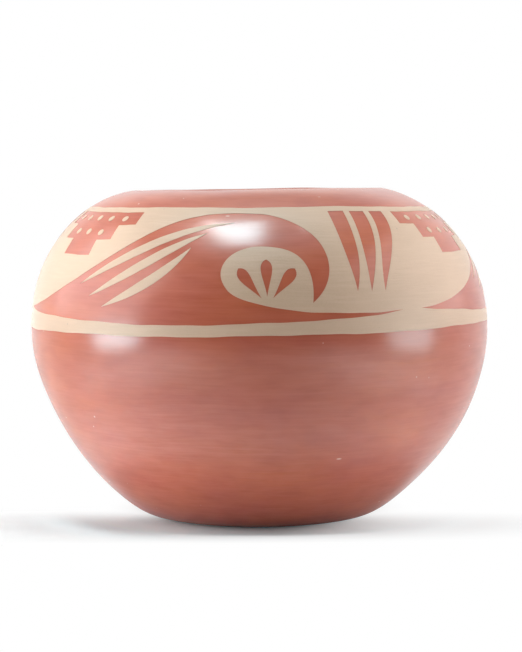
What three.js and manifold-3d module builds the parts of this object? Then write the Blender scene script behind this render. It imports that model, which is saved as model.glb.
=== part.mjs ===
// A hand-built redware jar: a round-bellied, wide-mouthed pot raised from a base dish and
// flattened coils of clay, coated with a polished red slip, with a matte buff slip laid over
// the shoulder so that its figures are left in red. Millimetres, +Z up, the foot on Z = 0,
// the front of the jar towards -Y.
import * as THREE from "three";
import { mergeVertices } from "three/addons/utils/BufferGeometryUtils.js";
import { TessellateModifier } from "three/addons/modifiers/TessellateModifier.js";
import Module from "manifold-3d";

const wasm = await Module();
wasm.setup();

// Outer sizes of the jar
const jarHeight = 141;
const bellyDiameter = 200;
const bellyHeight = 81; // height at which the jar is widest
const footDiameter = 100;
const mouthDiameter = 108; // across the top of the lip

// Slope of the side, in degrees, where it leaves the foot and where it meets the lip
const footSlope = 15;
const lipSlope = 7;

// Roundness of the side: how far each end of a curve pulls along its own direction, as a
// share of the overhang or the height that the curve crosses
const footPull = 0.27;
const lowerBellyPull = 0.5;
const upperBellyPull = 0.54;
const lipPull = 0.52;

// Clay and slips
const wallThickness = 6; // outer skin to inner clay face
const floorThickness = 8;
const slipThickness = 0.5;
const paintThickness = 0.5;
const layerGap = 0.3; // between the clay and the red slip, and the red slip and the buff
const slipAtFoot = 1.2; // bare clay left below the red slip
const slipInside = 12; // reach of the red slip below the lip, inside the mouth

// Courses of clay, measured along the side: the base dish, flattened coils and a rim coil
const dishReach = 24;
const lowerCoils = 4; // between the dish and the foot of the band
const upperCoils = 3; // behind the band
const jointGap = 0.3;

// Buff band, measured along the side
const bandAboveBelly = 3.4;
const bandBelowLip = 20.2;
const lineWidth = 3.2; // buff line along the top edge of the band
const panelCount = 3;
const frontShare = 0.67; // share of the first panel's length that lies on the front

// Figures of the band. Sizes and places that follow the band are shares of a panel's length
// across it, and shares of the band's height up it.
const waveStart = 0.015;
const waveEnd = 0.97;
const waveFoot = 0.15; // height at which the wave starts and runs out
const blades = [ // buff, inside the wave, the outermost first
  { root: [0.265, 0.34], bend: [0.38, 0.62], top: [0.48, 0.81], tip: [0.615, 0.84] },
  { root: [0.3, 0.26], bend: [0.4, 0.49], top: [0.48, 0.67], tip: [0.555, 0.74] },
  { root: [0.34, 0.19], bend: [0.42, 0.35], top: [0.485, 0.5], tip: [0.525, 0.62] },
];
const bladeFullness = 0.055; // how far a blade's lower edge hangs below its upper
const stepWidths = [0.315, 0.21, 0.115]; // steps of the hanging cloud, widest first
const stepHeight = 0.13;
const cloudCentre = 0.2;
const featherCount = 3;
const featherWidth = 0.043;
const featherLength = 0.66;
const featherPitch = 0.06; // between heads, at the top line
const featherTipPitch = 0.0315;
const featherStart = 0.868;
const dropCount = 3; // long red drops that fan out inside the curl of the wave
const dropLean = 38; // degrees between one drop and the next
const dropRoot = [0.686, 0.2];
const dropStart = 0.06; // from the root to a drop's foot, up the band
const dropLength = 0.27;
const dropWidth = 0.075;
const dropSwell = 2.2; // how far the curve's guides stand out to round the drop's head

// Fineness of the solids
const turnSteps = 40;
const dishSteps = 3;
const lipSteps = 5;
const leastRun = 1; // between a piece's end and the nearest ring of corners
const outlineSteps = 5;
const largestFacet = 10; // of a figure's prism, before it is bent
const prismMargin = 0.3; // of a figure's prism, beyond either face of the band

const clayInset = slipThickness + layerGap;
const bellyRadius = bellyDiameter / 2;
const facetSag = bellyRadius * (1 - Math.cos(Math.PI / turnSteps)); // flat facet below the round
const panelLength = (2 * Math.PI * bellyRadius) / panelCount;

// The side of the jar in the plane of radius and height: two curves that meet at the belly
function lowerSideCurve() {
  const slope = THREE.MathUtils.degToRad(footSlope);
  const pull = footPull * (bellyRadius - footDiameter / 2);
  const curve = new THREE.CubicBezierCurve(
    new THREE.Vector2(footDiameter / 2, 0),
    new THREE.Vector2(footDiameter / 2 + pull * Math.cos(slope), pull * Math.sin(slope)),
    new THREE.Vector2(bellyRadius, bellyHeight * (1 - lowerBellyPull)),
    new THREE.Vector2(bellyRadius, bellyHeight)
  );
  curve.arcLengthDivisions = 400;
  return curve;
}

function upperSideCurve() {
  const slope = THREE.MathUtils.degToRad(lipSlope);
  const rise = jarHeight - bellyHeight;
  const pull = lipPull * (bellyRadius - mouthDiameter / 2);
  const curve = new THREE.CubicBezierCurve(
    new THREE.Vector2(bellyRadius, bellyHeight),
    new THREE.Vector2(bellyRadius, bellyHeight + upperBellyPull * rise),
    new THREE.Vector2(mouthDiameter / 2 + pull * Math.cos(slope), jarHeight - pull * Math.sin(slope)),
    new THREE.Vector2(mouthDiameter / 2, jarHeight)
  );
  curve.arcLengthDivisions = 400;
  return curve;
}

const lowerSide = lowerSideCurve();
const upperSide = upperSideCurve();
const lowerLength = lowerSide.getLength();
const sideLength = lowerLength + upperSide.getLength();
const bandStart = lowerLength + bandAboveBelly;
const bandEnd = sideLength - bandBelowLip;
const bandHeight = bandEnd - bandStart;

// Point on the side at a distance along it from the foot, moved inwards by an inset
function sidePoint(distance, inset) {
  const isLower = distance <= lowerLength;
  const curve = isLower ? lowerSide : upperSide;
  const along = isLower ? distance : distance - lowerLength;
  const share = Math.min(along / curve.getLength(), 1);
  const tangent = curve.getTangentAt(share);
  const outwards = new THREE.Vector2(tangent.y, -tangent.x);
  return curve.getPointAt(share).addScaledVector(outwards, -inset);
}

// Distances along the side where one course of clay ends and the next begins: the coils share
// out the side below the band evenly, then the band, and the rim coil starts at its top
function courseJoints() {
  const found = [];
  for (let coil = 0; coil < lowerCoils; coil += 1) {
    found.push(THREE.MathUtils.lerp(dishReach, bandStart, coil / lowerCoils));
  }
  for (let coil = 0; coil <= upperCoils; coil += 1) {
    found.push(THREE.MathUtils.lerp(bandStart, bandEnd, coil / upperCoils));
  }
  return found;
}

const joints = courseJoints();
const coilCount = lowerCoils + upperCoils;

// Distances where every layer has a ring of corners, so that their facets run parallel
function sharedStations() {
  const found = [];
  for (let step = 0; step < dishSteps; step += 1) {
    found.push((dishReach * step) / dishSteps);
  }
  for (let coil = 0; coil < coilCount; coil += 1) {
    found.push(joints[coil], (joints[coil] + joints[coil + 1]) / 2);
  }
  found.push(bandEnd, (bandEnd + sideLength) / 2, sideLength);
  return found;
}

const stations = sharedStations();

// Points of the side between two distances, at one inset, from the lower to the upper
function sideRun(from, to, inset) {
  const between = stations.filter((s) => s > from + leastRun && s < to - leastRun);
  return [from, ...between, to].map((distance) => sidePoint(distance, inset));
}

// Half round over the lip, from the outside to the inside, at a radius about the lip's core
function lipRound(radius) {
  const core = sidePoint(sideLength, (clayInset + wallThickness) / 2);
  const startAngle = Math.PI / 2 - THREE.MathUtils.degToRad(lipSlope);
  const points = [];
  for (let step = 1; step < lipSteps; step += 1) {
    const angle = startAngle + (Math.PI * step) / lipSteps;
    points.push(new THREE.Vector2(core.x + radius * Math.cos(angle), core.y + radius * Math.sin(angle)));
  }
  return points;
}

// Turned solid from a profile that is listed upwards along its outer face
function turned(profile) {
  const geometry = new THREE.LatheGeometry(profile, turnSteps);
  geometry.rotateX(Math.PI / 2);
  return geometry;
}

function closed(profile) {
  return [...profile, profile[0].clone()];
}

// Base dish: the flat floor and the start of the side, pressed in one piece
function baseDish() {
  const top = joints[0] - jointGap / 2;
  const outer = sideRun(0, top, clayInset);
  const inner = sideRun(0, top, wallThickness).reverse();
  const slope = THREE.MathUtils.degToRad(footSlope);
  const footRadius = outer[0].x - outer[0].y / Math.tan(slope);
  const floor = inner.filter((point) => point.y > floorThickness);
  const last = floor[floor.length - 1];
  return turned([
    new THREE.Vector2(0, 0),
    new THREE.Vector2(footRadius, 0),
    ...outer,
    ...floor,
    new THREE.Vector2(last.x - (last.y - floorThickness) / Math.tan(slope), floorThickness),
    new THREE.Vector2(0, floorThickness),
  ]);
}

// One flattened coil of clay, luted to the courses below and above it
function wallCoil(coil) {
  const from = joints[coil] + jointGap / 2;
  const to = joints[coil + 1] - jointGap / 2;
  const outer = sideRun(from, to, clayInset);
  const inner = sideRun(from, to, wallThickness).reverse();
  return turned(closed([...outer, ...inner]));
}

// Rim coil: the last course, rounded over at the lip
function rimCoil() {
  const from = joints[coilCount] + jointGap / 2;
  const outer = sideRun(from, sideLength, clayInset);
  const inner = sideRun(from, sideLength, wallThickness).reverse();
  const lip = lipRound((wallThickness - clayInset) / 2);
  return turned(closed([...outer, ...lip, ...inner]));
}

// Red slip: a skin over the whole outside, over the lip and a little way into the mouth
function redSlip() {
  const clayLip = (wallThickness - clayInset) / 2;
  const insideEnd = sideLength - slipInside;
  const face = [
    ...sideRun(slipAtFoot, sideLength, 0),
    ...lipRound(clayLip + clayInset),
    ...sideRun(insideEnd, sideLength, wallThickness + clayInset).reverse(),
  ];
  const back = [
    ...sideRun(slipAtFoot, sideLength, slipThickness),
    ...lipRound(clayLip + layerGap),
    ...sideRun(insideEnd, sideLength, wallThickness + layerGap).reverse(),
  ].reverse();
  return turned(closed([...face, ...back]));
}

// The band before its figures are opened
function bandRing() {
  const outer = sideRun(bandStart, bandEnd, -layerGap - paintThickness);
  const inner = sideRun(bandStart, bandEnd, -layerGap).reverse();
  return turned(closed([...outer, ...inner]));
}

// Figures are drawn flat, in a panel that is repeated round the jar: x along the belly and y up
// the side. Shares of the panel become millimetres here.
function across(share) {
  return share * panelLength;
}

function up(share) {
  return share * bandHeight;
}

// Adds a curve to a figure: two guide points and an end point, as shares of the panel
function curveBy(figure, first, second, end) {
  figure.bezierCurveTo(
    across(first[0]), up(first[1]),
    across(second[0]), up(second[1]),
    across(end[0]), up(end[1])
  );
}

// Wave that rises from the left, curls over at its crest and runs out to the right
function waveFigure() {
  const wave = new THREE.Shape();
  wave.moveTo(across(waveStart), up(waveFoot));
  curveBy(wave, [0.22, 0.2], [0.32, 0.56], [0.44, 0.79]);
  curveBy(wave, [0.52, 0.95], [0.66, 0.99], [0.735, 0.87]);
  curveBy(wave, [0.82, 0.73], [0.845, 0.42], [0.775, 0.22]);
  curveBy(wave, [0.785, 0.46], [0.76, 0.62], [0.69, 0.63]);
  curveBy(wave, [0.61, 0.64], [0.575, 0.46], [0.605, 0.33]);
  curveBy(wave, [0.635, 0.17], [0.79, 0.12], [waveEnd, waveFoot]);
  curveBy(wave, [0.77, 0.05], [0.28, 0.055], [waveStart, waveFoot]);
  return wave;
}

// Buff blade, straight-backed above and hollow below
function bladeFigure({ root, bend, top, tip }) {
  const blade = new THREE.Shape();
  const backTop = [top[0] + bladeFullness / 3, top[1] - bladeFullness];
  const backBend = [bend[0] + bladeFullness / 3, bend[1] - 1.6 * bladeFullness];
  blade.moveTo(across(root[0]), up(root[1]));
  curveBy(blade, bend, top, tip);
  curveBy(blade, backTop, backBend, root);
  return blade;
}

// Cloud of steps that hangs from the top line
function cloudFigure() {
  const top = bandHeight - lineWidth;
  const corners = [];
  stepWidths.forEach((width, step) => {
    corners.push([across(width / 2), top - up(step * stepHeight)]);
    corners.push([across(width / 2), top - up((step + 1) * stepHeight)]);
  });
  const centre = across(cloudCentre);
  const cloud = new THREE.Shape();
  cloud.moveTo(centre + corners[0][0], corners[0][1]);
  corners.slice(1).forEach(([reach, height]) => cloud.lineTo(centre + reach, height));
  corners.reverse().forEach(([reach, height]) => cloud.lineTo(centre - reach, height));
  return cloud;
}

// Feather with a square head on the top line and a pointed foot
function featherFigure(index) {
  const half = across(featherWidth) / 2;
  const length = up(featherLength);
  const top = bandHeight - lineWidth;
  const headX = across(featherStart + index * featherPitch);
  const tipX = across(featherStart + index * featherTipPitch);
  const tipY = top - length;
  const feather = new THREE.Shape();
  feather.moveTo(tipX, tipY);
  feather.bezierCurveTo(
    tipX - half / 4, tipY + length / 3,
    headX - half, top - length / 3,
    headX - half, top
  );
  feather.lineTo(headX + half, top);
  feather.bezierCurveTo(
    headX + half, top - length / 3,
    tipX + half, tipY + length / 3,
    tipX, tipY
  );
  return feather;
}

// Long drop with a pointed foot and a round head, one of a fan
function dropFigure(index) {
  const lean = THREE.MathUtils.degToRad(dropLean * ((dropCount - 1) / 2 - index));
  const half = up(dropWidth) / 2;
  const place = (along, aside) => [
    across(dropRoot[0]) - along * Math.sin(lean) + aside * Math.cos(lean),
    up(dropRoot[1]) + along * Math.cos(lean) + aside * Math.sin(lean),
  ];
  const foot = up(dropStart);
  const head = foot + up(dropLength);
  const drop = new THREE.Shape();
  drop.moveTo(...place(foot, 0));
  drop.bezierCurveTo(
    ...place((foot + head) / 2, half / 2),
    ...place(head - half, dropSwell * half),
    ...place(head, 0)
  );
  drop.bezierCurveTo(
    ...place(head - half, -dropSwell * half),
    ...place((foot + head) / 2, -half / 2),
    ...place(foot, 0)
  );
  return drop;
}

// Solid prism of a flat figure, bent round the jar so that it crosses the band
function bentPrism(figure, panel) {
  const lowest = layerGap - prismMargin - 2 * facetSag;
  let geometry = new THREE.ExtrudeGeometry(figure, {
    depth: layerGap + paintThickness + prismMargin - lowest,
    bevelEnabled: false,
    curveSegments: outlineSteps,
  });
  geometry = new TessellateModifier(largestFacet, 12).modify(geometry);
  const position = geometry.attributes.position;
  for (let index = 0; index < position.count; index += 1) {
    const along = position.getX(index) + (panel - frontShare) * panelLength;
    const angle = along / bellyRadius;
    const point = sidePoint(bandStart + position.getY(index), -lowest - position.getZ(index));
    position.setXYZ(index, point.x * Math.sin(angle), -point.x * Math.cos(angle), point.y);
  }
  return solidOf(geometry);
}

// Closed solid for cutting and joining, from a geometry with its shared corners merged
function solidOf(geometry) {
  const bare = geometry.clone();
  bare.deleteAttribute("normal");
  bare.deleteAttribute("uv");
  const merged = mergeVertices(bare, 1e-4);
  return new wasm.Manifold(
    new wasm.Mesh({
      numProp: 3,
      vertProperties: new Float32Array(merged.attributes.position.array),
      triVerts: new Uint32Array(merged.index.array),
    })
  );
}

function geometryOf(solid) {
  const mesh = solid.getMesh();
  const geometry = new THREE.BufferGeometry();
  geometry.setAttribute("position", new THREE.BufferAttribute(mesh.vertProperties, 3));
  geometry.setIndex(new THREE.BufferAttribute(mesh.triVerts, 1));
  geometry.computeVertexNormals();
  return geometry;
}

// Surface of each material
const clay = { color: 0xa5674f, roughness: 0.9, metalness: 0 };
const polishedRed = { color: 0xb0604d, roughness: 0.25, metalness: 0 };
const matteBuff = { color: 0xdcc3a6, roughness: 0.85, metalness: 0 };

const jar = new THREE.Group();

function addPiece(name, geometry, surface) {
  const piece = new THREE.Mesh(geometry, new THREE.MeshStandardMaterial(surface));
  piece.name = name;
  jar.add(piece);
}

// The clay body, from the floor up
addPiece("base_dish", baseDish(), clay);
for (let coil = 0; coil < coilCount; coil += 1) {
  addPiece(`wall_coil_${coil + 1}`, wallCoil(coil), clay);
}
addPiece("rim_coil", rimCoil(), clay);

// The red slip, and the buff slip over it with its red figures open
addPiece("red_slip_coat", redSlip(), polishedRed);

const ring = solidOf(bandRing());
let band = ring;
for (let panel = 0; panel < panelCount; panel += 1) {
  const figures = [waveFigure(), cloudFigure()];
  for (let index = 0; index < featherCount; index += 1) {
    figures.push(featherFigure(index));
  }
  for (let index = 0; index < dropCount; index += 1) {
    figures.push(dropFigure(index));
  }
  figures.forEach((figure) => {
    band = band.subtract(bentPrism(figure, panel));
  });
}
addPiece("buff_slip_band", geometryOf(band), matteBuff);

// Buff marks that stand alone inside the red figures
for (let panel = 0; panel < panelCount; panel += 1) {
  blades.forEach((blade, index) => {
    const solid = ring.intersect(bentPrism(bladeFigure(blade), panel));
    addPiece(`panel_${panel + 1}_blade_${index + 1}`, geometryOf(solid), matteBuff);
  });
}

export default jar;
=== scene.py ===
"""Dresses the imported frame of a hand-built redware jar.

The jar is raised from a dish and coils of clay, covered with a red slip that is polished with a
stone, and painted round the shoulder with a matte buff slip. Lengths are in metres, and angles
round the jar run from its front, towards -Y, to its right.
"""
import math

import bmesh
import bpy
import numpy as np
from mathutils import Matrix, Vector
from mathutils.geometry import interpolate_bezier


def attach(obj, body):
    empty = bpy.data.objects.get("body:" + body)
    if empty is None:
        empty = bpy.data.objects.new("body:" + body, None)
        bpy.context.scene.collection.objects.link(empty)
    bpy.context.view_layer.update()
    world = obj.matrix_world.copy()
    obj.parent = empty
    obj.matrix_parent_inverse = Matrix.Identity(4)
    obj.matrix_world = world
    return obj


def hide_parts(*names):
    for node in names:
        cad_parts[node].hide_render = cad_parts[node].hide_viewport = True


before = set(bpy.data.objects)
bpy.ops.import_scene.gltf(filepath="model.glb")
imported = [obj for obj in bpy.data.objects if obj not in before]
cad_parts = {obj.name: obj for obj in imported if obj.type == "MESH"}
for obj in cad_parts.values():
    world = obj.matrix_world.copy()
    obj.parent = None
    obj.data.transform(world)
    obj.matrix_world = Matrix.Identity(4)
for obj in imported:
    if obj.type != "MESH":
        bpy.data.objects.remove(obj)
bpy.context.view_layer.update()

MM = 0.001

# Driving sizes of the jar, as in the part's source
JAR_HEIGHT = 141 * MM
BELLY_RADIUS = 100 * MM
BELLY_HEIGHT = 81 * MM
FOOT_RADIUS = 50 * MM
MOUTH_RADIUS = 54 * MM
FOOT_SLOPE = math.radians(15)
LIP_SLOPE = math.radians(7)
FOOT_PULL = 0.27
LOWER_BELLY_PULL = 0.5
UPPER_BELLY_PULL = 0.54
LIP_PULL = 0.52
WALL = 6 * MM
FLOOR = 8 * MM
SLIP = 0.5 * MM
LAYER_GAP = 0.3 * MM
CLAY_INSET = SLIP + LAYER_GAP
SLIP_AT_FOOT = 0.6 * MM
SLIP_INSIDE = 12 * MM
DISH_REACH = 24 * MM
LOWER_COILS = 4
UPPER_COILS = 3
JOINT_GAP = 0.3 * MM
BAND_ABOVE_BELLY = 3.4 * MM
BAND_BELOW_LIP = 20.2 * MM
TOP_LINE = 3.2 * MM
PANELS = 3
FRONT_SHARE = 0.67

# Fineness of the finished pieces
RED_TURN_STEPS = 288
CLAY_TURN_STEPS = 160
ROW_PITCH = 1.5 * MM
HIDDEN_ROW_PITCH = 4 * MM
LIP_ROWS = 12
CURVE_PITCH = 1.2 * MM
CELL = 3 * MM

# Buff paint: how far it stands on the red slip, and how far it bites into it
PAINT_PROUD = 0.11 * MM
PAINT_BITE = 0.15 * MM


def side_samples():
    """Close points (radius, height) up the side of the jar, and the distance along it to each."""
    foot = Vector((FOOT_RADIUS, 0))
    belly = Vector((BELLY_RADIUS, BELLY_HEIGHT))
    lip = Vector((MOUTH_RADIUS, JAR_HEIGHT))
    foot_pull = FOOT_PULL * (BELLY_RADIUS - FOOT_RADIUS)
    lip_pull = LIP_PULL * (BELLY_RADIUS - MOUTH_RADIUS)
    foot_guide = foot + foot_pull * Vector((math.cos(FOOT_SLOPE), math.sin(FOOT_SLOPE)))
    under_belly = belly - Vector((0, LOWER_BELLY_PULL * BELLY_HEIGHT))
    over_belly = belly + Vector((0, UPPER_BELLY_PULL * (JAR_HEIGHT - BELLY_HEIGHT)))
    lip_guide = lip + lip_pull * Vector((math.cos(LIP_SLOPE), -math.sin(LIP_SLOPE)))
    lower = interpolate_bezier(foot, foot_guide, under_belly, belly, 500)
    upper = interpolate_bezier(belly, over_belly, lip_guide, lip, 500)
    points = np.array([tuple(point) for point in lower[:-1] + upper])
    steps = np.hypot(*np.diff(points, axis=0).T)
    return points, np.concatenate(([0.0], np.cumsum(steps)))


SIDE, SIDE_RUN = side_samples()
SIDE_DIRECTION = np.gradient(SIDE, SIDE_RUN, axis=0)
SIDE_LENGTH = SIDE_RUN[-1]
LOWER_LENGTH = float(np.interp(BELLY_HEIGHT, SIDE[:, 1], SIDE_RUN))
BAND_START = LOWER_LENGTH + BAND_ABOVE_BELLY
BAND_END = SIDE_LENGTH - BAND_BELOW_LIP
BAND_HEIGHT = BAND_END - BAND_START
PANEL_LENGTH = 2 * math.pi * BELLY_RADIUS / PANELS


def outward(distance):
    """Radial and upright parts of the side's outward direction at a distance along it."""
    radial = np.interp(distance, SIDE_RUN, SIDE_DIRECTION[:, 1])
    upright = -np.interp(distance, SIDE_RUN, SIDE_DIRECTION[:, 0])
    return radial, upright


def side_point(distance, inset):
    """Radius and height of the side at a distance along it, moved inwards by an inset."""
    radial, upright = outward(distance)
    radius = np.interp(distance, SIDE_RUN, SIDE[:, 0]) - inset * radial
    height = np.interp(distance, SIDE_RUN, SIDE[:, 1]) - inset * upright
    return radius, height


# Slow unevenness of a wall shaped by hand: waves round the jar, reach along the side, size, phase
HAND_WAVES = (
    (2, 190 * MM, 0.15 * MM, 0.4),
    (3, -120 * MM, 0.11 * MM, 2.1),
    (5, 74 * MM, 0.07 * MM, 4.0),
    (9, -46 * MM, 0.04 * MM, 1.3),
    (15, 31 * MM, 0.022 * MM, 5.2),
)
FOOT_EASE = 15 * MM
# Under its belly the jar leans a little to its right
LEAN = 1.0 * MM
LEAN_DISTANCE = 58 * MM
LEAN_REACH = 26 * MM
# Its lip rises a little towards the back right, with a low crest nearer the back
LIP_RISE = 0.2 * MM
LIP_TILT = 0.55 * MM
LIP_HIGH_SIDE = math.radians(140)
LIP_CREST = 0.45 * MM
LIP_CREST_SIDE = math.radians(152)
LIP_CREST_NARROW = 6.5
LIP_EASE = 20 * MM


def unevenness(angle, distance):
    """How far the wall stands proud of the true round, which fades to nothing at the foot."""
    waves = sum(
        size * np.sin(turns * angle + 2 * math.pi * distance / reach + phase)
        for turns, reach, size, phase in HAND_WAVES
    )
    lean = LEAN * np.sin(angle) * np.exp(-(((distance - LEAN_DISTANCE) / LEAN_REACH) ** 2))
    lip = LIP_RISE + LIP_TILT * np.cos(angle - LIP_HIGH_SIDE)
    lip = lip + LIP_CREST * np.exp(LIP_CREST_NARROW * (np.cos(angle - LIP_CREST_SIDE) - 1))
    near_lip = np.clip((distance - SIDE_LENGTH) / LIP_EASE + 1, 0, 1)
    return (waves + lean) * np.clip(distance / FOOT_EASE, 0, 1) + lip * near_lip ** 2


def mesh_of(bm, name):
    """Mesh object from a bmesh, with its doubles merged and its faces outwards."""
    bmesh.ops.remove_doubles(bm, verts=bm.verts[:], dist=1e-6)
    bmesh.ops.recalc_face_normals(bm, faces=bm.faces[:])
    mesh = bpy.data.meshes.new(name)
    bm.to_mesh(mesh)
    bm.free()
    piece = bpy.data.objects.new(name, mesh)
    bpy.context.collection.objects.link(piece)
    return piece


def vertex_values(mesh, name, width=1):
    """Values of a vertex attribute, or of the vertices' places for the name co."""
    values = np.empty(len(mesh.vertices) * width, dtype=np.float32)
    if name == "co":
        mesh.vertices.foreach_get("co", values)
    else:
        mesh.attributes[name].data.foreach_get("value", values)
    return values.reshape(-1, width) if width > 1 else values


def set_flow(mesh, angle, run):
    """Stores the unrolled place of each vertex, which the stroke patterns follow."""
    flow = np.stack((BELLY_RADIUS * np.sin(angle), -BELLY_RADIUS * np.cos(angle), run), axis=1)
    layer = mesh.attributes.new("flow", "FLOAT_VECTOR", "POINT")
    layer.data.foreach_set("vector", flow.astype(np.float32).ravel())


def finish_piece(piece, material, nodes, crease=30):
    """Smooths a piece between its creases, gives it its material and ties it to the frame."""
    piece.data.shade_smooth()
    piece.data.set_sharp_from_angle(angle=math.radians(crease))
    piece.data.materials.append(material)
    if nodes:
        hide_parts(*nodes)
    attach(piece, "root")


# Turned pieces

def rows_up(start, end, inset, pitch=ROW_PITCH):
    """Rows of a profile from one distance along the side to another, either way."""
    count = max(2, round(abs(end - start) / pitch) + 1)
    return [(*side_point(distance, inset), distance) for distance in np.linspace(start, end, count)]


def lip_rows(radius):
    """Rows round the lip, from the outside to the inside, at a radius about its core."""
    core_radius, core_height = side_point(SIDE_LENGTH, (CLAY_INSET + WALL) / 2)
    rows = []
    for step in range(1, LIP_ROWS):
        angle = math.pi / 2 - LIP_SLOPE + math.pi * step / LIP_ROWS
        place = (core_radius + radius * math.cos(angle), core_height + radius * math.sin(angle))
        rows.append((*place, SIDE_LENGTH))
    return rows


def turned_piece(name, rows, steps, closed=True):
    """Piece spun round the axis from profile rows of (radius, height, distance)."""
    bm = bmesh.new()
    distance_layer = bm.verts.layers.float.new("distance")
    run_layer = bm.verts.layers.float.new("run")
    corners = []
    run = 0.0
    for radius, height, distance in rows:
        corner = bm.verts.new((0, -radius, height))
        if corners:
            run += (corner.co - corners[-1].co).length
        corner[distance_layer] = distance
        corner[run_layer] = run
        corners.append(corner)
    pairs = list(zip(corners, corners[1:]))
    if closed:
        pairs.append((corners[-1], corners[0]))
    edges = [bm.edges.new(pair) for pair in pairs]
    bmesh.ops.spin(
        bm, geom=corners + edges, cent=(0, 0, 0), axis=(0, 0, 1), angle=2 * math.pi,
        steps=steps, use_merge=True, use_normal_flip=False, use_duplicate=False,
    )
    piece = mesh_of(bm, name)
    mesh = piece.data
    place = vertex_values(mesh, "co", 3)
    distance = vertex_values(mesh, "distance")
    angle = np.arctan2(place[:, 0], -place[:, 1])
    radial, upright = outward(distance)
    lift = unevenness(angle, distance)
    place[:, 0] += lift * radial * np.sin(angle)
    place[:, 1] -= lift * radial * np.cos(angle)
    place[:, 2] += lift * upright
    mesh.vertices.foreach_set("co", place.ravel())
    set_flow(mesh, angle, vertex_values(mesh, "run"))
    mesh.update()
    return piece


def make_red_slip(material):
    """Polished red slip over the outside and the lip, as one closed skin."""
    lip_radius = (WALL - CLAY_INSET) / 2
    inside_end = SIDE_LENGTH - SLIP_INSIDE
    face = rows_up(SLIP_AT_FOOT, SIDE_LENGTH, 0)
    face += lip_rows(lip_radius + CLAY_INSET)
    face += rows_up(SIDE_LENGTH, inside_end, WALL + CLAY_INSET)
    back = rows_up(inside_end, SIDE_LENGTH, WALL + LAYER_GAP, HIDDEN_ROW_PITCH)
    back += lip_rows(lip_radius + LAYER_GAP)[::-1]
    back += rows_up(SIDE_LENGTH, SLIP_AT_FOOT, SLIP, HIDDEN_ROW_PITCH)
    piece = turned_piece("polished_red_slip", face + back, RED_TURN_STEPS)
    finish_piece(piece, material, ["red_slip_coat"])


def course_joints():
    """Distances along the side where one course of clay ends and the next begins."""
    lower = np.linspace(DISH_REACH, BAND_START, LOWER_COILS + 1)
    upper = np.linspace(BAND_START, BAND_END, UPPER_COILS + 1)
    return [*lower, *upper[1:]]


# Hollow scraped along the inside of each joint
HOLLOW_REACH = 1.2 * MM
HOLLOW_DEPTH = 0.25 * MM
# Rounding between the inner side of the dish and its floor
CORNER_WIDTH = 2.5 * MM
CORNER_LIFT = 0.25 * MM
CORNER_HEIGHT = 1 * MM


def joint_rows(start, end):
    """Inner face of a course, scraped a little hollow where it meets its neighbours."""
    rows = []
    for radius, height, distance in rows_up(end, start, WALL):
        nearness = min(abs(distance - start), abs(distance - end)) / HOLLOW_REACH
        dip = HOLLOW_DEPTH * math.exp(-nearness * nearness)
        radial, upright = outward(distance)
        rows.append((radius + dip * radial, height + dip * upright, distance))
    return rows


def make_clay_courses(material):
    """Base dish, coils and rim coil of the clay body."""
    joints = course_joints()
    top = joints[0] - JOINT_GAP / 2
    outer = rows_up(0, top, CLAY_INSET)
    inner = [row for row in joint_rows(0, top) if row[1] > FLOOR + CORNER_HEIGHT]
    bottom_radius = outer[0][0] - outer[0][1] / math.tan(FOOT_SLOPE)
    edge_radius = inner[-1][0] - CORNER_WIDTH
    floor = [(edge_radius, FLOOR + CORNER_LIFT, 0)]
    floor += [(edge_radius * share, FLOOR, 0) for share in (0.95, 0.75, 0.5, 0.25)]
    under = [(bottom_radius * share, 0, 0) for share in (0.3, 0.6, 0.9, 1)]
    rows = [(0, 0, 0), *under, *outer, *inner, *floor, (0, FLOOR, 0)]
    dish = turned_piece("scraped_base_dish", rows, CLAY_TURN_STEPS, closed=False)
    finish_piece(dish, material, ["base_dish"], crease=50)
    for index, (low, high) in enumerate(zip(joints, joints[1:]), start=1):
        start = low + JOINT_GAP / 2
        end = high - JOINT_GAP / 2
        rows = rows_up(start, end, CLAY_INSET, HIDDEN_ROW_PITCH) + joint_rows(start, end)
        coil = turned_piece(f"scraped_coil_{index}", rows, CLAY_TURN_STEPS)
        finish_piece(coil, material, [f"wall_coil_{index}"], crease=50)
    start = joints[-1] + JOINT_GAP / 2
    rows = rows_up(start, SIDE_LENGTH, CLAY_INSET, HIDDEN_ROW_PITCH)
    rows += lip_rows((WALL - CLAY_INSET) / 2)
    rows += rows_up(SIDE_LENGTH, start, WALL)
    rim = turned_piece("scraped_rim_coil", rows, CLAY_TURN_STEPS)
    finish_piece(rim, material, ["rim_coil"], crease=50)


# Painted pieces: outlines are drawn flat in a panel, with x along the belly and y up the side

# A panel starts in the narrow strip that no figure crosses
PANEL_START = 0.0125

WAVE_FOOT = 0.15
WAVE_START = (0.015, WAVE_FOOT)
WAVE_CURVES = (
    ((0.22, 0.2), (0.32, 0.56), (0.44, 0.79)),
    ((0.52, 0.95), (0.66, 0.99), (0.735, 0.87)),
    ((0.82, 0.73), (0.845, 0.42), (0.775, 0.22)),
    ((0.785, 0.46), (0.76, 0.62), (0.69, 0.63)),
    ((0.61, 0.64), (0.575, 0.46), (0.605, 0.33)),
    ((0.635, 0.17), (0.79, 0.12), (0.97, WAVE_FOOT)),
    ((0.77, 0.05), (0.28, 0.055), WAVE_START),
)
BLADES = (
    ((0.265, 0.34), (0.38, 0.62), (0.48, 0.81), (0.615, 0.84)),
    ((0.3, 0.26), (0.4, 0.49), (0.48, 0.67), (0.555, 0.74)),
    ((0.34, 0.19), (0.42, 0.35), (0.485, 0.5), (0.525, 0.62)),
)
BLADE_FULLNESS = 0.055
STEP_WIDTHS = (0.315, 0.21, 0.115)
STEP_HEIGHT = 0.13
CLOUD_CENTRE = 0.2
DOTS_IN_STEPS = (5, 3)
DOT_PITCH = 11.5 * MM
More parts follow.
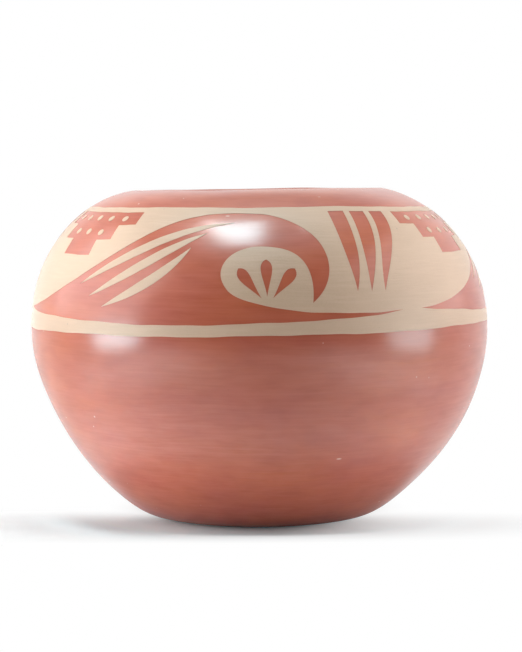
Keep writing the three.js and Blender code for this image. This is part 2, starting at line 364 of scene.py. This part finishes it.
DOT_LENGTH = 3.7 * MM
DOT_HEIGHT = 3.0 * MM
DOT_CORNERS = 20
FEATHERS = 3
FEATHER_WIDTH = 0.043
FEATHER_LENGTH = 0.66
FEATHER_PITCH = 0.06
FEATHER_TIP_PITCH = 0.0315
FEATHER_START = 0.868
DROPS = 3
DROP_LEAN = math.radians(38)
DROP_ROOT = (0.686, 0.2)
DROP_START = 0.06
DROP_LENGTH = 0.27
DROP_WIDTH = 0.075
DROP_SWELL = 2.2


def panel_point(share):
    """Flat place of a point that is given as shares of a panel's length and the band's height."""
    return Vector((share[0] * PANEL_LENGTH, share[1] * BAND_HEIGHT, 0))


def drawn(start, curves):
    """Closed outline from a start point and curves of two guides and an end."""
    outline = [start]
    for guide, second_guide, end in curves:
        ends = (outline[-1], guide, second_guide, end)
        length = sum((b - a).length for a, b in zip(ends, ends[1:]))
        stretch = interpolate_bezier(*ends, max(6, round(length / CURVE_PITCH)))
        outline += stretch[1:]
    return outline[:-1] if (outline[-1] - outline[0]).length < 1e-6 else outline


def wave_outline():
    curves = [[panel_point(share) for share in curve] for curve in WAVE_CURVES]
    return drawn(panel_point(WAVE_START), curves)


def blade_outline(root, bend, top, tip):
    back_top = (top[0] + BLADE_FULLNESS / 3, top[1] - BLADE_FULLNESS)
    back_bend = (bend[0] + BLADE_FULLNESS / 3, bend[1] - 1.6 * BLADE_FULLNESS)
    curves = ((bend, top, tip), (back_top, back_bend, root))
    return drawn(panel_point(root), [[panel_point(share) for share in curve] for curve in curves])


def cloud_outline():
    top = BAND_HEIGHT - TOP_LINE
    right = []
    for step, width in enumerate(STEP_WIDTHS):
        reach = width * PANEL_LENGTH / 2
        right.append((reach, top - step * STEP_HEIGHT * BAND_HEIGHT))
        right.append((reach, top - (step + 1) * STEP_HEIGHT * BAND_HEIGHT))
    centre = CLOUD_CENTRE * PANEL_LENGTH
    corners = [(centre + reach, height) for reach, height in right]
    corners += [(centre - reach, height) for reach, height in reversed(right)]
    return [Vector((x, y, 0)) for x, y in corners]


def feather_outline(index):
    half = FEATHER_WIDTH * PANEL_LENGTH / 2
    length = FEATHER_LENGTH * BAND_HEIGHT
    top = BAND_HEIGHT - TOP_LINE
    head = (FEATHER_START + index * FEATHER_PITCH) * PANEL_LENGTH
    tip = Vector(((FEATHER_START + index * FEATHER_TIP_PITCH) * PANEL_LENGTH, top - length, 0))
    left = Vector((head - half, top, 0))
    right = Vector((head + half, top, 0))
    down = Vector((0, -length / 3, 0))
    rise = ((tip + Vector((-half / 4, length / 3, 0)), left + down, left),)
    fall = ((right + down, tip + Vector((half, length / 3, 0)), tip),)
    return drawn(tip, rise) + drawn(right, fall)[:-1]


def drop_outline(index):
    lean = DROP_LEAN * ((DROPS - 1) / 2 - index)
    root = panel_point(DROP_ROOT)
    half = DROP_WIDTH * BAND_HEIGHT / 2
    foot = DROP_START * BAND_HEIGHT
    head = foot + DROP_LENGTH * BAND_HEIGHT
    middle = (foot + head) / 2

    def place(along, aside):
        x = -along * math.sin(lean) + aside * math.cos(lean)
        y = along * math.cos(lean) + aside * math.sin(lean)
        return root + Vector((x, y, 0))

    swell = DROP_SWELL * half
    rise = (place(middle, half / 2), place(head - half, swell), place(head, 0))
    fall = (place(head - half, -swell), place(middle, -half / 2), place(foot, 0))
    return drawn(place(foot, 0), (rise, fall))


def dot_outlines():
    outlines = []
    for step, count in enumerate(DOTS_IN_STEPS):
        height = BAND_HEIGHT - TOP_LINE - (step + 0.5) * STEP_HEIGHT * BAND_HEIGHT
        for index in range(count):
            x = CLOUD_CENTRE * PANEL_LENGTH + (index - (count - 1) / 2) * DOT_PITCH
            turns = [2 * math.pi * corner / DOT_CORNERS for corner in range(DOT_CORNERS)]
            outlines.append([
                Vector((x + DOT_LENGTH / 2 * math.cos(t), height + DOT_HEIGHT / 2 * math.sin(t), 0))
                for t in turns
            ])
    return outlines


def band_outlines():
    """Edge of one panel of the band, then the outlines of the red figures that it leaves open."""
    left = PANEL_START * PANEL_LENGTH
    right = left + PANEL_LENGTH
    edge = [(left, 0), (right, 0), (right, BAND_HEIGHT), (left, BAND_HEIGHT)]
    figures = [wave_outline(), cloud_outline()]
    figures += [feather_outline(index) for index in range(FEATHERS)]
    figures += [drop_outline(index) for index in range(DROPS)]
    return [[Vector((x, y, 0)) for x, y in edge], *figures]


def flat_paint(outlines):
    """Flat sheet between an outline and those of its openings, cut into cells that can bend."""
    bm = bmesh.new()
    for outline in outlines:
        corners = [bm.verts.new(point) for point in outline]
        for pair in zip(corners, corners[1:] + corners[:1]):
            bm.edges.new(pair)
    bmesh.ops.triangle_fill(bm, edges=bm.edges[:], use_beauty=True, use_dissolve=False)
    for axis, direction in enumerate((Vector((1, 0, 0)), Vector((0, 1, 0)))):
        places = [corner.co[axis] for corner in bm.verts]
        low = PANEL_START * PANEL_LENGTH if axis == 0 else 0.0
        first = math.floor((min(places) - low) / CELL)
        last = math.ceil((max(places) - low) / CELL)
        for line in range(first, last + 1):
            bmesh.ops.bisect_plane(
                bm, geom=bm.verts[:] + bm.edges[:] + bm.faces[:], dist=1e-8,
                plane_co=direction * (low + line * CELL), plane_no=direction,
            )
    for face in bm.faces:
        if face.normal.z < 0:
            face.normal_flip()
    return bm


# Drift of a hand-held brush: waves round the jar, reach along the side, size
BRUSH_DRIFT = ((7, 90 * MM, 0.20 * MM), (19, -40 * MM, 0.12 * MM), (43, 26 * MM, 0.06 * MM))
SIDEWAYS_DRIFT = 0.8
# The band's edges are painted by eye: mean drop of each, and its rise on the jar's right
LOWER_EDGE = (-0.8 * MM, 1.2 * MM)
UPPER_EDGE = (-1.0 * MM, -0.3 * MM)


def bend_onto_jar(bm, first_panel):
    """Lays a flat sheet on the jar and gives it the paint's thickness."""
    across_layer = bm.verts.layers.float.new("across")
    distance_layer = bm.verts.layers.float.new("distance")
    shift = (first_panel - FRONT_SHARE) * PANEL_LENGTH
    for corner in bm.verts:
        corner[across_layer] = corner.co.x + shift
        corner[distance_layer] = BAND_START + corner.co.y
    across = np.array([corner[across_layer] for corner in bm.verts])
    distance = np.array([corner[distance_layer] for corner in bm.verts])
    angle = across / BELLY_RADIUS
    drift = sum(
        size * np.sin(turns * angle + 2 * math.pi * distance / reach)
        for turns, reach, size in BRUSH_DRIFT
    )
    share = (distance - BAND_START) / BAND_HEIGHT
    lower = LOWER_EDGE[0] + LOWER_EDGE[1] * np.sin(angle)
    upper = UPPER_EDGE[0] + UPPER_EDGE[1] * np.sin(angle)
    distance = distance + drift + lower * (1 - share) + upper * share
    angle = angle + SIDEWAYS_DRIFT * drift / BELLY_RADIUS
    radius, height = side_point(distance, -PAINT_PROUD - unevenness(angle, distance))
    for corner, turn, out, up in zip(bm.verts, angle, radius, height):
        corner.co = (out * math.sin(turn), -out * math.cos(turn), up)
    bmesh.ops.remove_doubles(bm, verts=bm.verts[:], dist=2e-6)
    bm.normal_update()
    bmesh.ops.solidify(bm, geom=bm.faces[:], thickness=PAINT_PROUD + PAINT_BITE)


def paint_piece(name, bm, material, nodes):
    """Finished piece of buff paint."""
    piece = mesh_of(bm, name)
    mesh = piece.data
    place = vertex_values(mesh, "co", 3)
    angle = np.arctan2(place[:, 0], -place[:, 1])
    set_flow(mesh, angle, vertex_values(mesh, "distance"))
    finish_piece(piece, material, nodes, crease=40)


def make_band(material):
    """Buff band with its red figures left open, three panels joined into one ring."""
    bm = flat_paint(band_outlines())
    panel = bm.verts[:] + bm.edges[:] + bm.faces[:]
    for index in range(1, PANELS):
        copied = bmesh.ops.duplicate(bm, geom=panel)
        verts = [item for item in copied["geom"] if isinstance(item, bmesh.types.BMVert)]
        bmesh.ops.translate(bm, verts=verts, vec=(index * PANEL_LENGTH, 0, 0))
    bend_onto_jar(bm, 0)
    paint_piece("painted_buff_band", bm, material, ["buff_slip_band"])


def make_marks(material):
    """Buff marks that stand alone inside the red figures."""
    for panel in range(PANELS):
        for index, blade in enumerate(BLADES, start=1):
            bm = flat_paint([blade_outline(*blade)])
            bend_onto_jar(bm, panel)
            node = f"panel_{panel + 1}_blade_{index}"
            paint_piece(f"painted_blade_{panel + 1}_{index}", bm, material, [node])
        for index, outline in enumerate(dot_outlines(), start=1):
            bm = flat_paint([outline])
            bend_onto_jar(bm, panel)
            paint_piece(f"painted_dot_{panel + 1}_{index}", bm, material, [])


# Materials

def add_node(tree, kind, **settings):
    node = tree.nodes.new(kind)
    for name, value in settings.items():
        setattr(node, name, value)
    return node


def feed(tree, target, value):
    """Sets a socket to a number or colour, or links another socket to it."""
    if isinstance(value, bpy.types.NodeSocket):
        tree.links.new(value, target)
    elif value is not None:
        target.default_value = value


def scaled(tree, vector, scale):
    node = add_node(tree, "ShaderNodeVectorMath", operation="MULTIPLY")
    feed(tree, node.inputs[0], vector)
    feed(tree, node.inputs[1], scale)
    return node.outputs[0]


def noise_of(tree, vector, detail=2.0, roughness=0.5):
    """Smooth noise of a scaled place, from 0 to 1."""
    node = add_node(tree, "ShaderNodeTexNoise", noise_dimensions="3D")
    feed(tree, node.inputs["Vector"], vector)
    feed(tree, node.inputs["Scale"], 1.0)
    feed(tree, node.inputs["Detail"], detail)
    feed(tree, node.inputs["Roughness"], roughness)
    return node.outputs["Fac"]


def spread(tree, value, low, high, to_low=0.0, to_high=1.0, kind="LINEAR"):
    """Stretches a range of a value over another range."""
    node = add_node(tree, "ShaderNodeMapRange", clamp=True, interpolation_type=kind)
    for socket, number in zip(node.inputs, (value, low, high, to_low, to_high)):
        feed(tree, socket, number)
    return node.outputs["Result"]


def eased(tree, value, start, end):
    """Rises smoothly from 0 at the start to 1 at the end, or falls where the end is the lower."""
    low, high = min(start, end), max(start, end)
    steps = (0.0, 1.0) if start < end else (1.0, 0.0)
    return spread(tree, value, low, high, *steps, kind="SMOOTHSTEP")


def maths(tree, operation, first, second=None):
    node = add_node(tree, "ShaderNodeMath", operation=operation)
    feed(tree, node.inputs[0], first)
    feed(tree, node.inputs[1], second)
    return node.outputs[0]


def mixed(tree, factor, first, second):
    """Mixes two colours."""
    node = add_node(tree, "ShaderNodeMix", data_type="RGBA")
    feed(tree, node.inputs[0], factor)
    feed(tree, node.inputs[6], first)
    feed(tree, node.inputs[7], second)
    return node.outputs[2]


def new_group(name, inputs, outputs):
    """Empty shader node group with named sockets, and its input and output nodes."""
    group = bpy.data.node_groups.new(name, "ShaderNodeTree")
    for socket, kind in inputs:
        group.interface.new_socket(socket, in_out="INPUT", socket_type=kind)
    for socket, kind in outputs:
        group.interface.new_socket(socket, in_out="OUTPUT", socket_type=kind)
    return group, group.nodes.new("NodeGroupInput"), group.nodes.new("NodeGroupOutput")


def stroke_group():
    """Long strokes round the jar, as a polishing stone or a wide brush leaves them."""
    group, given, result = new_group(
        "strokes round the jar",
        [("Flow", "NodeSocketVector"), ("Length", "NodeSocketFloat"), ("Width", "NodeSocketFloat")],
        [("Strokes", "NodeSocketFloat"), ("Fine", "NodeSocketFloat")],
    )
    wander = noise_of(group, scaled(group, given.outputs["Flow"], (22, 22, 40)), detail=1.0)
    lift = maths(group, "MULTIPLY", maths(group, "SUBTRACT", wander, 0.5), 0.003)
    sway = add_node(group, "ShaderNodeCombineXYZ")
    feed(group, sway.inputs["Z"], lift)
    moved = add_node(group, "ShaderNodeVectorMath", operation="ADD")
    feed(group, moved.inputs[0], given.outputs["Flow"])
    feed(group, moved.inputs[1], sway.outputs[0])
    for output, finer in (("Strokes", 1.0), ("Fine", 2.7)):
        along = maths(group, "DIVIDE", finer, given.outputs["Length"])
        up = maths(group, "DIVIDE", finer, given.outputs["Width"])
        stretch = add_node(group, "ShaderNodeCombineXYZ")
        feed(group, stretch.inputs["X"], along)
        feed(group, stretch.inputs["Y"], along)
        feed(group, stretch.inputs["Z"], up)
        place = add_node(group, "ShaderNodeVectorMath", operation="MULTIPLY")
        feed(group, place.inputs[0], moved.outputs[0])
        feed(group, place.inputs[1], stretch.outputs[0])
        feed(group, result.inputs[output], noise_of(group, place.outputs[0], detail=1.0))
    return group


def speck_group():
    """Small round specks, scattered unevenly: temper, pinholes and chips."""
    group, given, result = new_group(
        "scattered specks",
        [("Place", "NodeSocketVector"), ("Pitch", "NodeSocketFloat"), ("Size", "NodeSocketFloat"),
         ("Share", "NodeSocketFloat")],
        [("Specks", "NodeSocketFloat")],
    )
    scale = maths(group, "DIVIDE", 1.0, given.outputs["Pitch"])
    cells = add_node(group, "ShaderNodeTexVoronoi", feature="F1", voronoi_dimensions="3D")
    feed(group, cells.inputs["Vector"], given.outputs["Place"])
    feed(group, cells.inputs["Scale"], scale)
    tint = add_node(group, "ShaderNodeSeparateColor")
    feed(group, tint.inputs[0], cells.outputs["Color"])
    chosen = maths(group, "LESS_THAN", tint.outputs[0], given.outputs["Share"])
    own_size = maths(group, "MULTIPLY_ADD", tint.outputs[1], 0.8)
    own_size.node.inputs[2].default_value = 0.4
    reach = maths(group, "MULTIPLY", given.outputs["Size"], own_size)
    far = maths(group, "MULTIPLY", cells.outputs["Distance"], given.outputs["Pitch"])
    near = add_node(group, "ShaderNodeMapRange", clamp=True)
    feed(group, near.inputs["Value"], far)
    feed(group, near.inputs["From Min"], reach)
    feed(group, near.inputs["From Max"], maths(group, "MULTIPLY", reach, 0.5))
    feed(group, result.inputs["Specks"], maths(group, "MULTIPLY", near.outputs[0], chosen))
    return group


STROKES = stroke_group()
SPECKS = speck_group()


def placed(tree, group, **inputs):
    node = add_node(tree, "ShaderNodeGroup", node_tree=group)
    for name, value in inputs.items():
        feed(tree, node.inputs[name], value)
    return node.outputs


def new_material(name, roughness, specular=0.5):
    material = bpy.data.materials.new(name)
    material.use_nodes = True
    tree = material.node_tree
    shader = tree.nodes["Principled BSDF"]
    shader.inputs["Roughness"].default_value = roughness
    shader.inputs["Specular IOR Level"].default_value = specular
    return material, tree, shader


def flow_of(tree):
    return add_node(tree, "ShaderNodeAttribute", attribute_name="flow").outputs["Vector"]


def object_place(tree):
    return add_node(tree, "ShaderNodeTexCoord").outputs["Object"]


def bumped(tree, shader, height, distance):
    bump = add_node(tree, "ShaderNodeBump")
    feed(tree, bump.inputs["Height"], height)
    feed(tree, bump.inputs["Distance"], distance)
    feed(tree, bump.inputs["Strength"], 1.0)
    tree.links.new(bump.outputs[0], shader.inputs["Normal"])


# Colours of the slips and the clay, as linear values
RED = (0.49, 0.107, 0.06, 1)
RED_COOL = (0.44, 0.094, 0.063, 1)
RED_WARM = (0.545, 0.13, 0.056, 1)
RED_DEEP = (0.39, 0.077, 0.043, 1)
RED_PALE = (0.6, 0.165, 0.105, 1)
SPECK_PALE = (0.80, 0.55, 0.43, 1)


def polished_red():
    """Red slip rubbed with a stone: glossy, streaked by the stone, with specks of temper."""
    material, tree, shader = new_material("polished red slip", 0.24, specular=0.85)
    shader.inputs["Sheen Weight"].default_value = 0.2
    shader.inputs["Sheen Roughness"].default_value = 0.3
    flow = flow_of(tree)
    wide = placed(tree, STROKES, Flow=flow, Length=0.06, Width=0.0034)
    thin = placed(tree, STROKES, Flow=flow, Length=0.03, Width=0.0013)
    clouds = noise_of(tree, scaled(tree, flow, (16, 16, 38)), detail=3.0)
    patches = noise_of(tree, scaled(tree, flow, (70, 70, 190)), detail=2.0)
    colour = mixed(tree, spread(tree, clouds, 0.36, 0.64), RED_COOL, RED_WARM)
    colour = mixed(tree, spread(tree, wide["Strokes"], 0.3, 0.7, 0.0, 0.5), colour, RED)
    colour = mixed(tree, spread(tree, patches, 0.4, 0.7, 0.0, 0.22), colour, RED_PALE)
    colour = mixed(tree, spread(tree, patches, 0.3, 0.5, 0.22, 0.0), colour, RED_DEEP)
    colour = mixed(tree, spread(tree, wide["Fine"], 0.45, 0.75, 0.0, 0.2), colour, RED_PALE)
    colour = mixed(tree, spread(tree, thin["Strokes"], 0.45, 0.75, 0.0, 0.16), colour, RED_PALE)
    colour = mixed(tree, spread(tree, thin["Fine"], 0.3, 0.5, 0.16, 0.0), colour, RED_DEEP)
    place = object_place(tree)
    pale = placed(tree, SPECKS, Place=place, Pitch=0.0062, Size=0.0005, Share=0.2)["Specks"]
    dark = placed(tree, SPECKS, Place=scaled(tree, place, (1.13, 1.13, 1.13)),
                  Pitch=0.0071, Size=0.0004, Share=0.12)["Specks"]
    nicks = placed(tree, SPECKS, Place=scaled(tree, flow, (0.3, 0.3, 1.0)),
                   Pitch=0.0055, Size=0.00045, Share=0.16)["Specks"]
    pale = maths(tree, "MAXIMUM", pale, nicks)
    colour = mixed(tree, maths(tree, "MULTIPLY", pale, 0.65), colour, SPECK_PALE)
    colour = mixed(tree, maths(tree, "MULTIPLY", dark, 0.5), colour, RED_DEEP)
    feed(tree, shader.inputs["Base Color"], colour)
    rough = spread(tree, wide["Strokes"], 0.3, 0.7, 0.21, 0.25)
    rough = maths(tree, "ADD", rough, spread(tree, thin["Strokes"], 0.3, 0.7, 0.0, 0.02))
    feed(tree, shader.inputs["Roughness"], rough)
    height = maths(tree, "ADD", wide["Strokes"], maths(tree, "MULTIPLY", thin["Strokes"], 0.2))
    height = maths(tree, "SUBTRACT", height, maths(tree, "MULTIPLY", dark, 0.5))
    height = maths(tree, "ADD", height, maths(tree, "MULTIPLY", pale, 0.3))
    bumped(tree, shader, height, 0.000008)
    return material


BUFF = (0.63, 0.405, 0.274, 1)
BUFF_DEEP = (0.58, 0.362, 0.24, 1)
BUFF_PALE = (0.68, 0.45, 0.318, 1)
PINHOLE = (0.30, 0.17, 0.11, 1)


def matte_buff():
    """Buff slip laid on with a brush: matte and fine grained, a little thin in places."""
    material, tree, shader = new_material("matte buff slip", 0.5, specular=0.9)
    shader.inputs["Sheen Weight"].default_value = 0.4
    shader.inputs["Sheen Roughness"].default_value = 0.3
    flow = flow_of(tree)
    place = object_place(tree)
    brush = placed(tree, STROKES, Flow=flow, Length=0.02, Width=0.0012)
    clouds = noise_of(tree, scaled(tree, flow, (24, 24, 40)), detail=3.0)
    grain = noise_of(tree, scaled(tree, place, (1500, 1500, 1500)), detail=3.0, roughness=0.65)
    colour = mixed(tree, spread(tree, clouds, 0.36, 0.64), BUFF_DEEP, BUFF)
    colour = mixed(tree, spread(tree, brush["Strokes"], 0.45, 0.7, 0.0, 0.45), colour, BUFF_PALE)
    colour = mixed(tree, spread(tree, brush["Fine"], 0.3, 0.45, 0.25, 0.0), colour, BUFF_DEEP)
    colour = mixed(tree, spread(tree, grain, 0.35, 0.65, 0.0, 0.3), colour, BUFF_PALE)
    holes = placed(tree, SPECKS, Place=place, Pitch=0.0078, Size=0.00042, Share=0.25)["Specks"]
    colour = mixed(tree, maths(tree, "MULTIPLY", holes, 0.55), colour, PINHOLE)
    feed(tree, shader.inputs["Base Color"], colour)
    feed(tree, shader.inputs["Roughness"], spread(tree, grain, 0.3, 0.7, 0.44, 0.56))
    height = maths(tree, "ADD", maths(tree, "MULTIPLY", grain, 0.5), brush["Fine"])
    height = maths(tree, "SUBTRACT", height, holes)
    bumped(tree, shader, height, 0.00008)
    return material


CLAY = (0.36, 0.155, 0.09, 1)
CLAY_DEEP = (0.25, 0.10, 0.058, 1)
CLAY_PALE = (0.47, 0.245, 0.155, 1)
TEMPER = (0.62, 0.45, 0.33, 1)


def scraped_clay():
    """Bare fired clay: wiped and scraped, never polished, with sand temper showing."""
    material, tree, shader = new_material("scraped fired clay", 0.85, specular=0.3)
    flow = flow_of(tree)
    place = object_place(tree)
    scrape = placed(tree, STROKES, Flow=flow, Length=0.03, Width=0.0014)
    clouds = noise_of(tree, scaled(tree, place, (26, 26, 26)), detail=4.0)
    grain = noise_of(tree, scaled(tree, place, (900, 900, 900)), detail=3.0, roughness=0.6)
    colour = mixed(tree, spread(tree, clouds, 0.36, 0.66), CLAY_DEEP, CLAY)
    colour = mixed(tree, spread(tree, scrape["Strokes"], 0.45, 0.7, 0.0, 0.4), colour, CLAY_PALE)
    colour = mixed(tree, spread(tree, grain, 0.4, 0.66, 0.0, 0.45), colour, CLAY_PALE)
    temper = placed(tree, SPECKS, Place=place, Pitch=0.0034, Size=0.00045, Share=0.4)["Specks"]
    colour = mixed(tree, maths(tree, "MULTIPLY", temper, 0.7), colour, TEMPER)
    feed(tree, shader.inputs["Base Color"], colour)
    feed(tree, shader.inputs["Roughness"], spread(tree, grain, 0.3, 0.7, 0.78, 0.94))
    height = maths(tree, "ADD", grain, maths(tree, "MULTIPLY", scrape["Strokes"], 1.6))
    height = maths(tree, "ADD", height, maths(tree, "MULTIPLY", temper, 0.5))
    bumped(tree, shader, height, 0.00014)
    return material


# Camera, fitted to the photograph's outline and ellipses

CAMERA_DISTANCE = 800 * MM
CAMERA_HEIGHT = 135.6 * MM
CAMERA_PITCH = math.radians(3.916)
CAMERA_ASIDE = 1.1 * MM
CAMERA_ROLL = math.radians(0.188)
LENS = 100.09


def make_camera():
    data = bpy.data.cameras.new("camera")
    data.lens = LENS
    data.sensor_width = 36
    camera = bpy.data.objects.new("camera", data)
    camera.location = (CAMERA_ASIDE, -CAMERA_DISTANCE, CAMERA_HEIGHT)
    camera.rotation_euler = (math.pi / 2 - CAMERA_PITCH, CAMERA_ROLL, 0)
    bpy.context.collection.objects.link(camera)
    bpy.context.scene.camera = camera


# Studio

# The table's colour for the camera by the jar, a painted cool tint against the red light thrown
# back by it, and further out a darker grey that paints the jar's shadow out wider than it falls
TABLE_NEAR = (0.88, 1.1, 1.15, 1)
TABLE_FAR_PAINTED_SHADOW = (0.42, 0.42, 0.42, 1)
# Its greys for all other light, painted light and shade that the jar gets back and sees in its
# gloss: two darker ones that mingle, painted shade on the rest of the table and in front of the jar
# above all, and one under the jar and one out to the sides, lighter, painted light
TABLE_SHADE_GREYS = ((0.44, 0.44, 0.44, 1), (0.46, 0.46, 0.46, 1))
TABLE_UNDER_LIGHT = (0.86, 0.86, 0.86, 1)
TABLE_ASIDE_LIGHT = (0.85, 0.85, 0.85, 1)
# Share of the jar's shadow on the table that is painted over with white on the jar's right
RIGHT_SHADOW_WHITENED = 0.5
# Where the camera sees the table with its shadow, and not plain white: centre, half width, half
# depth and full share
SHADOW_SPOTS = (
    ((-0.03, -0.047), 0.24, 0.042, 0.15),
    ((0, 0), 0.07, 0.07, 0.15),
    ((0, -0.056), 0.08, 0.02, 0.5),
)


def make_floor():
    """White table, which keeps the jar's shadow and ends short of the camera."""
    bm = bmesh.new()
    bmesh.ops.create_grid(bm, x_segments=1, y_segments=1, size=0.5)
    bmesh.ops.scale(bm, vec=(1.2, 3.2, 1), verts=bm.verts[:])
    bmesh.ops.translate(bm, vec=(0, 1.0, 0), verts=bm.verts[:])
    mesh = bpy.data.meshes.new("table")
    bm.to_mesh(mesh)
    bm.free()
    table = bpy.data.objects.new("table", mesh)
    bpy.context.collection.objects.link(table)
    material, tree, shader = new_material("white table", 0.6, specular=0.1)
    path = add_node(tree, "ShaderNodeLightPath").outputs
    seen = path["Is Camera Ray"]
    place = object_place(tree)
    parts = add_node(tree, "ShaderNodeSeparateXYZ")
    feed(tree, parts.inputs[0], place)
    grain = noise_of(tree, scaled(tree, place, (3, 3, 3)), detail=2.0)
    away = add_node(tree, "ShaderNodeVectorMath", operation="LENGTH")
    feed(tree, away.inputs[0], place)
    away = away.outputs["Value"]
    # For all other rays: painted shade on the table, painted light under the jar and to its sides
    plain = mixed(tree, grain, *TABLE_SHADE_GREYS)
    aside = maths(tree, "ABSOLUTE", parts.outputs["X"])
    plain = mixed(tree, eased(tree, aside, 0.1, 0.28), plain, TABLE_ASIDE_LIGHT)
    plain = mixed(tree, eased(tree, away, 0.18, 0.1), plain, TABLE_UNDER_LIGHT)
    # For the camera: painted cool tint by the jar, painted shadow in darker grey further out
    shown = mixed(tree, eased(tree, away, 0.108, 0.066), TABLE_FAR_PAINTED_SHADOW, TABLE_NEAR)
    feed(tree, shader.inputs["Base Color"], mixed(tree, seen, plain, shown))
    shadow = 0.0
    for (x, y), width, depth, full in SHADOW_SPOTS:
        nearness = add_node(tree, "ShaderNodeVectorMath", operation="LENGTH")
        moved = add_node(tree, "ShaderNodeVectorMath", operation="SUBTRACT")
        feed(tree, moved.inputs[0], place)
        feed(tree, moved.inputs[1], (x, y, 0))
        feed(tree, nearness.inputs[0], scaled(tree, moved.outputs[0], (1 / width, 1 / depth, 1)))
        shadow = maths(tree, "MAXIMUM", shadow, eased(tree, nearness.outputs["Value"], 1.0, full))
    white = add_node(tree, "ShaderNodeEmission")
    both = add_node(tree, "ShaderNodeMixShader")
    # Painted light: part of the shadow on the jar's right is whitened
    loss = maths(tree, "MULTIPLY", eased(tree, parts.outputs["X"], 0.0, 0.08), RIGHT_SHADOW_WHITENED)
    shadow = maths(tree, "MULTIPLY", shadow, maths(tree, "SUBTRACT", 1.0, loss))
    lit = maths(tree, "MULTIPLY", seen, maths(tree, "SUBTRACT", 1.0, shadow))
    behind = eased(tree, parts.outputs["Y"], -0.03, 0.03)
    behind = maths(tree, "MULTIPLY", path["Is Glossy Ray"], behind)
    feed(tree, both.inputs[0], maths(tree, "MAXIMUM", lit, behind))
    feed(tree, both.inputs[1], shader.outputs[0])
    feed(tree, both.inputs[2], white.outputs[0])
    feed(tree, tree.nodes["Material Output"].inputs["Surface"], both.outputs[0])
    mesh.materials.append(material)


# Light of the room, as lobes of the sky: direction, how narrow it is, the upward shares at which
# it is out and at which it is full, and strength
ROOM_LOBES = (
    ((-0.7071, 0.7071), 2, 0.9, 0.3, 0.72),
    ((0.7071, 0.7071), 2, 0.9, 0.3, 0.95),
    ((0, 1), 2, 0.2, 0.5, 0.46),
)
ROOM_TOP = 1.05


def make_world():
    """White for the camera; round the jar bright behind, beside and above, and dark in front."""
    world = bpy.data.worlds.new("studio")
    world.use_nodes = True
    bpy.context.scene.world = world
    tree = world.node_tree
    background = tree.nodes["Background"]
    path = add_node(tree, "ShaderNodeLightPath").outputs
    direction = add_node(tree, "ShaderNodeTexCoord").outputs["Generated"]
    parts = add_node(tree, "ShaderNodeSeparateXYZ")
    feed(tree, parts.inputs[0], direction)
    across, along, up = parts.outputs
    flat = maths(tree, "SUBTRACT", 1.0001, maths(tree, "MULTIPLY", up, up))
    level = maths(tree, "SQRT", flat)
    light = maths(tree, "MULTIPLY", eased(tree, up, 0.7, 1.0), ROOM_TOP)
    for (side, back), narrow, start, end, strength in ROOM_LOBES:
        facing = maths(tree, "MULTIPLY", across, float(side))
        facing = maths(tree, "ADD", facing, maths(tree, "MULTIPLY", along, float(back)))
        facing = maths(tree, "MAXIMUM", maths(tree, "DIVIDE", facing, level), 0.0)
        lobe = maths(tree, "POWER", facing, float(narrow))
        lobe = maths(tree, "MULTIPLY", lobe, eased(tree, up, start, end))
        light = maths(tree, "ADD", light, maths(tree, "MULTIPLY", lobe, strength))
    mirrored = maths(tree, "MAXIMUM", path["Is Glossy Ray"], path["Is Transmission Ray"])
    backdrop = maths(tree, "MULTIPLY", eased(tree, along, 0.2, 0.6), eased(tree, up, 0.6, 0.3))
    mirrored = maths(tree, "MULTIPLY", mirrored, backdrop)
    shown = maths(tree, "MAXIMUM", path["Is Camera Ray"], mirrored)
    feed(tree, background.inputs["Strength"], maths(tree, "MAXIMUM", light, shown))
    background.inputs["Color"].default_value = (1, 1, 1, 1)


# Colour of the three softboxes whose reflections show: daylight, cooler than the room
DAYLIGHT = (0.68, 1.0, 1.07)


WHITE = (1, 1, 1)
# Lamps: place, the point that each faces, width, height, power, spread in degrees and colour
LAMPS = {
    "left softbox":
        ((-0.913, -0.336, 0.05), (-0.057, -0.082, 0.06), 0.44, 0.2, 2.75, 180, DAYLIGHT),
    "right softbox":
        ((0.946, -0.239, 0.042), (0.065, -0.076, 0.05), 0.44, 0.2, 1.25, 180, DAYLIGHT),
    "top softbox":
        ((-0.104, -0.19, 0.9), (-0.104, -0.1899, 0), 0.22, 0.31, 3.0, 180, DAYLIGHT),
    "upper left softbox": ((-1.1, 0, 0.6), (0, 0, 0.05), 1.4, 1, 8.5, 180, WHITE),
    "upper right softbox": ((1.1, 0, 0.6), (0, 0, 0.05), 1.4, 1, 6.3, 180, WHITE),
    "front left softbox": ((-0.95, -0.55, 0.6), (0, 0, 0.05), 1.2, 0.9, 1, 180, WHITE),
    "left table light": ((-0.18, -0.17, 0.5), (-0.18, -0.1699, 0), 0.16, 0.3, 0.42, 34, WHITE),
    "right table light": ((0.19, -0.17, 0.5), (0.19, -0.1699, 0), 0.16, 0.3, 0.3, 34, WHITE),
}


def make_lights():
    for name, (place, target, width, height, power, spread_angle, colour) in LAMPS.items():
        data = bpy.data.lights.new(name, "AREA")
        data.shape = "RECTANGLE"
        data.size = width
        data.size_y = height
        data.energy = power
        data.color = colour
        data.spread = math.radians(spread_angle)
        light = bpy.data.objects.new(name, data)
        light.location = place
        facing = Vector(target) - Vector(place)
        light.rotation_euler = facing.to_track_quat("-Z", "Y").to_euler()
        bpy.context.collection.objects.link(light)


make_camera()
make_world()
make_lights()
make_floor()

red_slip = polished_red()
buff_slip = matte_buff()
clay = scraped_clay()
make_red_slip(red_slip)
make_clay_courses(clay)
make_band(buff_slip)
make_marks(buff_slip)

bpy.context.scene.view_settings.view_transform = "Standard"
